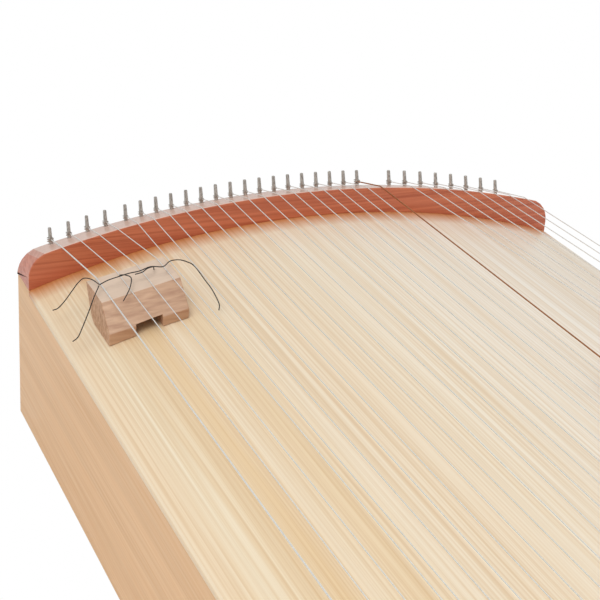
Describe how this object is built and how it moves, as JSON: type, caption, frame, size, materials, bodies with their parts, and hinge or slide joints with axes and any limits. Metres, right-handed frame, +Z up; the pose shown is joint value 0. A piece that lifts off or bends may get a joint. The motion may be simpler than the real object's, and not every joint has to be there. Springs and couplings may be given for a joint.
{
  "type": "kotamo",
  "caption": "Kotamo: a long box zither with an arched soundboard, tuning pins on a curved red-brown head rail, tambura, monochord and koto strings, a block bridge and sliding arched bridges",
  "frame": {"origin": "centre of the box, on the plane the feet rest on", "axes": "+X across the strings to the koto side, +Y along the strings to the head end with the tuning pins, +Z up"},
  "size_m": [0.54, 1.24, 0.2386],
  "materials": {
    "pine": "fine straight grain, satin lacquer",
    "beech": "oiled pinkish hardwood",
    "cherry": "red-brown hardwood, satin",
    "walnut": "brown hardwood, open grain",
    "maple": "brown hardwood",
    "spruce": "raw inner wood",
    "steel": "nickelled",
    "wire": "bright drawn wire",
    "rubber": "matt"
  },
  "bodies": {
    "box": {"soundboard": "pine", "side_left": "beech", "side_right": "beech", "head_board": "beech", "tail_board": "beech", "bottom_board": "beech", "head_rail": "cherry", "tail_rail": "cherry", "head_ledge": "spruce", "tail_ledge": "spruce", "rib_1": "spruce", "rib_2": "spruce", "rib_3": "spruce", "lining_left": "spruce", "lining_right": "spruce", "foot_head_left": "rubber", "foot_head_right": "rubber", "foot_tail_left": "rubber", "foot_tail_right": "rubber", "tambura_strings": "wire", "monochord_strings": "wire", "koto_strings": "wire"},
    "tambura_bridge_body": {"tambura_bridge": "walnut"},
    "koto_bridge_1_body": {"koto_bridge_1": "maple"},
    "koto_bridge_2_body": {"koto_bridge_2": "maple"},
    "koto_bridge_3_body": {"koto_bridge_3": "maple"},
    "koto_bridge_4_body": {"koto_bridge_4": "maple"},
    "koto_bridge_5_body": {"koto_bridge_5": "maple"},
    "koto_bridge_6_body": {"koto_bridge_6": "maple"},
    "koto_bridge_7_body": {"koto_bridge_7": "maple"},
    "koto_bridge_8_body": {"koto_bridge_8": "maple"},
    "tuning_pin_01_body": {"tuning_pin_01": "steel"},
    "tuning_pin_02_body": {"tuning_pin_02": "steel"},
    "tuning_pin_03_body": {"tuning_pin_03": "steel"},
    "tuning_pin_04_body": {"tuning_pin_04": "steel"},
    "tuning_pin_05_body": {"tuning_pin_05": "steel"},
    "tuning_pin_06_body": {"tuning_pin_06": "steel"},
    "tuning_pin_07_body": {"tuning_pin_07": "steel"},
    "tuning_pin_08_body": {"tuning_pin_08": "steel"},
    "tuning_pin_09_body": {"tuning_pin_09": "steel"},
    "tuning_pin_10_body": {"tuning_pin_10": "steel"},
    "tuning_pin_11_body": {"tuning_pin_11": "steel"},
    "tuning_pin_12_body": {"tuning_pin_12": "steel"},
    "tuning_pin_13_body": {"tuning_pin_13": "steel"},
    "tuning_pin_14_body": {"tuning_pin_14": "steel"},
    "tuning_pin_15_body": {"tuning_pin_15": "steel"},
    "tuning_pin_16_body": {"tuning_pin_16": "steel"},
    "tuning_pin_17_body": {"tuning_pin_17": "steel"},
    "tuning_pin_18_body": {"tuning_pin_18": "steel"},
    "tuning_pin_19_body": {"tuning_pin_19": "steel"},
    "tuning_pin_20_body": {"tuning_pin_20": "steel"},
    "tuning_pin_21_body": {"tuning_pin_21": "steel"},
    "tuning_pin_22_body": {"tuning_pin_22": "steel"},
    "tuning_pin_23_body": {"tuning_pin_23": "steel"},
    "tuning_pin_24_body": {"tuning_pin_24": "steel"},
    "tuning_pin_25_body": {"tuning_pin_25": "steel"},
    "tuning_pin_26_body": {"tuning_pin_26": "steel"},
    "tuning_pin_27_body": {"tuning_pin_27": "steel"},
    "tuning_pin_28_body": {"tuning_pin_28": "steel"},
    "tuning_pin_29_body": {"tuning_pin_29": "steel"}
  },
  "joints": [
    {"name": "tambura_bridge_slide", "type": "slide", "parent": "box", "child": "tambura_bridge_body", "axis": [0, 1, 0], "range_m": [-0.02, 0.02], "deforming": ["tambura_strings"]},
    {"name": "koto_bridge_1_slide", "type": "slide", "parent": "box", "child": "koto_bridge_1_body", "axis": [0, 1, 0], "range_m": [-0.012, 0.012], "deforming": ["koto_strings"]},
    {"name": "koto_bridge_2_slide", "type": "slide", "parent": "box", "child": "koto_bridge_2_body", "axis": [0, 1, 0], "range_m": [-0.012, 0.012], "deforming": ["koto_strings"]},
    {"name": "koto_bridge_3_slide", "type": "slide", "parent": "box", "child": "koto_bridge_3_body", "axis": [0, 1, 0], "range_m": [-0.012, 0.012], "deforming": ["koto_strings"]},
    {"name": "koto_bridge_4_slide", "type": "slide", "parent": "box", "child": "koto_bridge_4_body", "axis": [0, 1, 0], "range_m": [-0.012, 0.012], "deforming": ["koto_strings"]},
    {"name": "koto_bridge_5_slide", "type": "slide", "parent": "box", "child": "koto_bridge_5_body", "axis": [0, 1, 0], "range_m": [-0.012, 0.012], "deforming": ["koto_strings"]},
    {"name": "koto_bridge_6_slide", "type": "slide", "parent": "box", "child": "koto_bridge_6_body", "axis": [0, 1, 0], "range_m": [-0.012, 0.012], "deforming": ["koto_strings"]},
    {"name": "koto_bridge_7_slide", "type": "slide", "parent": "box", "child": "koto_bridge_7_body", "axis": [0, 1, 0], "range_m": [-0.012, 0.012], "deforming": ["koto_strings"]},
    {"name": "koto_bridge_8_slide", "type": "slide", "parent": "box", "child": "koto_bridge_8_body", "axis": [0, 1, 0], "range_m": [-0.012, 0.012], "deforming": ["koto_strings"]},
    {"name": "tuning_pin_01_turn", "type": "hinge", "parent": "box", "child": "tuning_pin_01_body", "pos_m": [-0.2403, 0.6135, 0.18163], "axis": [0, 0.2924, 0.9563], "continuous": true, "deforming": ["tambura_strings"]},
    {"name": "tuning_pin_02_turn", "type": "hinge", "parent": "box", "child": "tuning_pin_02_body", "pos_m": [-0.223, 0.6135, 0.1859], "axis": [0, 0.2924, 0.9563], "continuous": true, "deforming": ["tambura_strings"]},
    {"name": "tuning_pin_03_turn", "type": "hinge", "parent": "box", "child": "tuning_pin_03_body", "pos_m": [-0.2057, 0.6135, 0.18984], "axis": [0, 0.2924, 0.9563], "continuous": true, "deforming": ["tambura_strings"]},
    {"name": "tuning_pin_04_turn", "type": "hinge", "parent": "box", "child": "tuning_pin_04_body", "pos_m": [-0.1884, 0.6135, 0.19345], "axis": [0, 0.2924, 0.9563], "continuous": true, "deforming": ["tambura_strings"]},
    {"name": "tuning_pin_05_turn", "type": "hinge", "parent": "box", "child": "tuning_pin_05_body", "pos_m": [-0.1691, 0.6135, 0.19708], "axis": [0, 0.2924, 0.9563], "continuous": true, "deforming": ["monochord_strings"]},
    {"name": "tuning_pin_06_turn", "type": "hinge", "parent": "box", "child": "tuning_pin_06_body", "pos_m": [-0.1543, 0.6135, 0.19959], "axis": [0, 0.2924, 0.9563], "continuous": true, "deforming": ["monochord_strings"]},
    {"name": "tuning_pin_07_turn", "type": "hinge", "parent": "box", "child": "tuning_pin_07_body", "pos_m": [-0.1395, 0.6135, 0.20187], "axis": [0, 0.2924, 0.9563], "continuous": true, "deforming": ["monochord_strings"]},
    {"name": "tuning_pin_08_turn", "type": "hinge", "parent": "box", "child": "tuning_pin_08_body", "pos_m": [-0.1247, 0.6135, 0.20391], "axis": [0, 0.2924, 0.9563], "continuous": true, "deforming": ["monochord_strings"]},
    {"name": "tuning_pin_09_turn", "type": "hinge", "parent": "box", "child": "tuning_pin_09_body", "pos_m": [-0.1099, 0.6135, 0.20572], "axis": [0, 0.2924, 0.9563], "continuous": true, "deforming": ["monochord_strings"]},
    {"name": "tuning_pin_10_turn", "type": "hinge", "parent": "box", "child": "tuning_pin_10_body", "pos_m": [-0.0951, 0.6135, 0.2073], "axis": [0, 0.2924, 0.9563], "continuous": true, "deforming": ["monochord_strings"]},
    {"name": "tuning_pin_11_turn", "type": "hinge", "parent": "box", "child": "tuning_pin_11_body", "pos_m": [-0.0803, 0.6135, 0.20865], "axis": [0, 0.2924, 0.9563], "continuous": true, "deforming": ["monochord_strings"]},
    {"name": "tuning_pin_12_turn", "type": "hinge", "parent": "box", "child": "tuning_pin_12_body", "pos_m": [-0.0655, 0.6135, 0.20977], "axis": [0, 0.2924, 0.9563], "continuous": true, "deforming": ["monochord_strings"]},
    {"name": "tuning_pin_13_turn", "type": "hinge", "parent": "box", "child": "tuning_pin_13_body", "pos_m": [-0.0507, 0.6135, 0.21066], "axis": [0, 0.2924, 0.9563], "continuous": true, "deforming": ["monochord_strings"]},
    {"name": "tuning_pin_14_turn", "type": "hinge", "parent": "box", "child": "tuning_pin_14_body", "pos_m": [-0.0359, 0.6135, 0.21133], "axis": [0, 0.2924, 0.9563], "continuous": true, "deforming": ["monochord_strings"]},
    {"name": "tuning_pin_15_turn", "type": "hinge", "parent": "box", "child": "tuning_pin_15_body", "pos_m": [-0.0211, 0.6135, 0.21177], "axis": [0, 0.2924, 0.9563], "continuous": true, "deforming": ["monochord_strings"]},
    {"name": "tuning_pin_16_turn", "type": "hinge", "parent": "box", "child": "tuning_pin_16_body", "pos_m": [-0.0063, 0.6135, 0.21197], "axis": [0, 0.2924, 0.9563], "continuous": true, "deforming": ["monochord_strings"]},
    {"name": "tuning_pin_17_turn", "type": "hinge", "parent": "box", "child": "tuning_pin_17_body", "pos_m": [0.0085, 0.6135, 0.21196], "axis": [0, 0.2924, 0.9563], "continuous": true, "deforming": ["monochord_strings"]},
    {"name": "tuning_pin_18_turn", "type": "hinge", "parent": "box", "child": "tuning_pin_18_body", "pos_m": [0.0233, 0.6135, 0.21171], "axis": [0, 0.2924, 0.9563], "continuous": true, "deforming": ["monochord_strings"]},
    {"name": "tuning_pin_19_turn", "type": "hinge", "parent": "box", "child": "tuning_pin_19_body", "pos_m": [0.0381, 0.6135, 0.21124], "axis": [0, 0.2924, 0.9563], "continuous": true, "deforming": ["monochord_strings"]},
    {"name": "tuning_pin_20_turn", "type": "hinge", "parent": "box", "child": "tuning_pin_20_body", "pos_m": [0.0529, 0.6135, 0.21055], "axis": [0, 0.2924, 0.9563], "continuous": true, "deforming": ["monochord_strings"]},
    {"name": "tuning_pin_21_turn", "type": "hinge", "parent": "box", "child": "tuning_pin_21_body", "pos_m": [0.0677, 0.6135, 0.20962], "axis": [0, 0.2924, 0.9563], "continuous": true, "deforming": ["monochord_strings"]},
    {"name": "tuning_pin_22_turn", "type": "hinge", "parent": "box", "child": "tuning_pin_22_body", "pos_m": [0.1032, 0.6135, 0.20647], "axis": [0, 0.2924, 0.9563], "continuous": true, "deforming": ["koto_strings"]},
    {"name": "tuning_pin_23_turn", "type": "hinge", "parent": "box", "child": "tuning_pin_23_body", "pos_m": [0.1211, 0.6135, 0.20437], "axis": [0, 0.2924, 0.9563], "continuous": true, "deforming": ["koto_strings"]},
    {"name": "tuning_pin_24_turn", "type": "hinge", "parent": "box", "child": "tuning_pin_24_body", "pos_m": [0.139, 0.6135, 0.20194], "axis": [0, 0.2924, 0.9563], "continuous": true, "deforming": ["koto_strings"]},
    {"name": "tuning_pin_25_turn", "type": "hinge", "parent": "box", "child": "tuning_pin_25_body", "pos_m": [0.1569, 0.6135, 0.19917], "axis": [0, 0.2924, 0.9563], "continuous": true, "deforming": ["koto_strings"]},
    {"name": "tuning_pin_26_turn", "type": "hinge", "parent": "box", "child": "tuning_pin_26_body", "pos_m": [0.1748, 0.6135, 0.19605], "axis": [0, 0.2924, 0.9563], "continuous": true, "deforming": ["koto_strings"]},
    {"name": "tuning_pin_27_turn", "type": "hinge", "parent": "box", "child": "tuning_pin_27_body", "pos_m": [0.1927, 0.6135, 0.19258], "axis": [0, 0.2924, 0.9563], "continuous": true, "deforming": ["koto_strings"]},
    {"name": "tuning_pin_28_turn", "type": "hinge", "parent": "box", "child": "tuning_pin_28_body", "pos_m": [0.2106, 0.6135, 0.18876], "axis": [0, 0.2924, 0.9563], "continuous": true, "deforming": ["koto_strings"]},
    {"name": "tuning_pin_29_turn", "type": "hinge", "parent": "box", "child": "tuning_pin_29_body", "pos_m": [0.2285, 0.6135, 0.18458], "axis": [0, 0.2924, 0.9563], "continuous": true, "deforming": ["koto_strings"]}
  ]
}
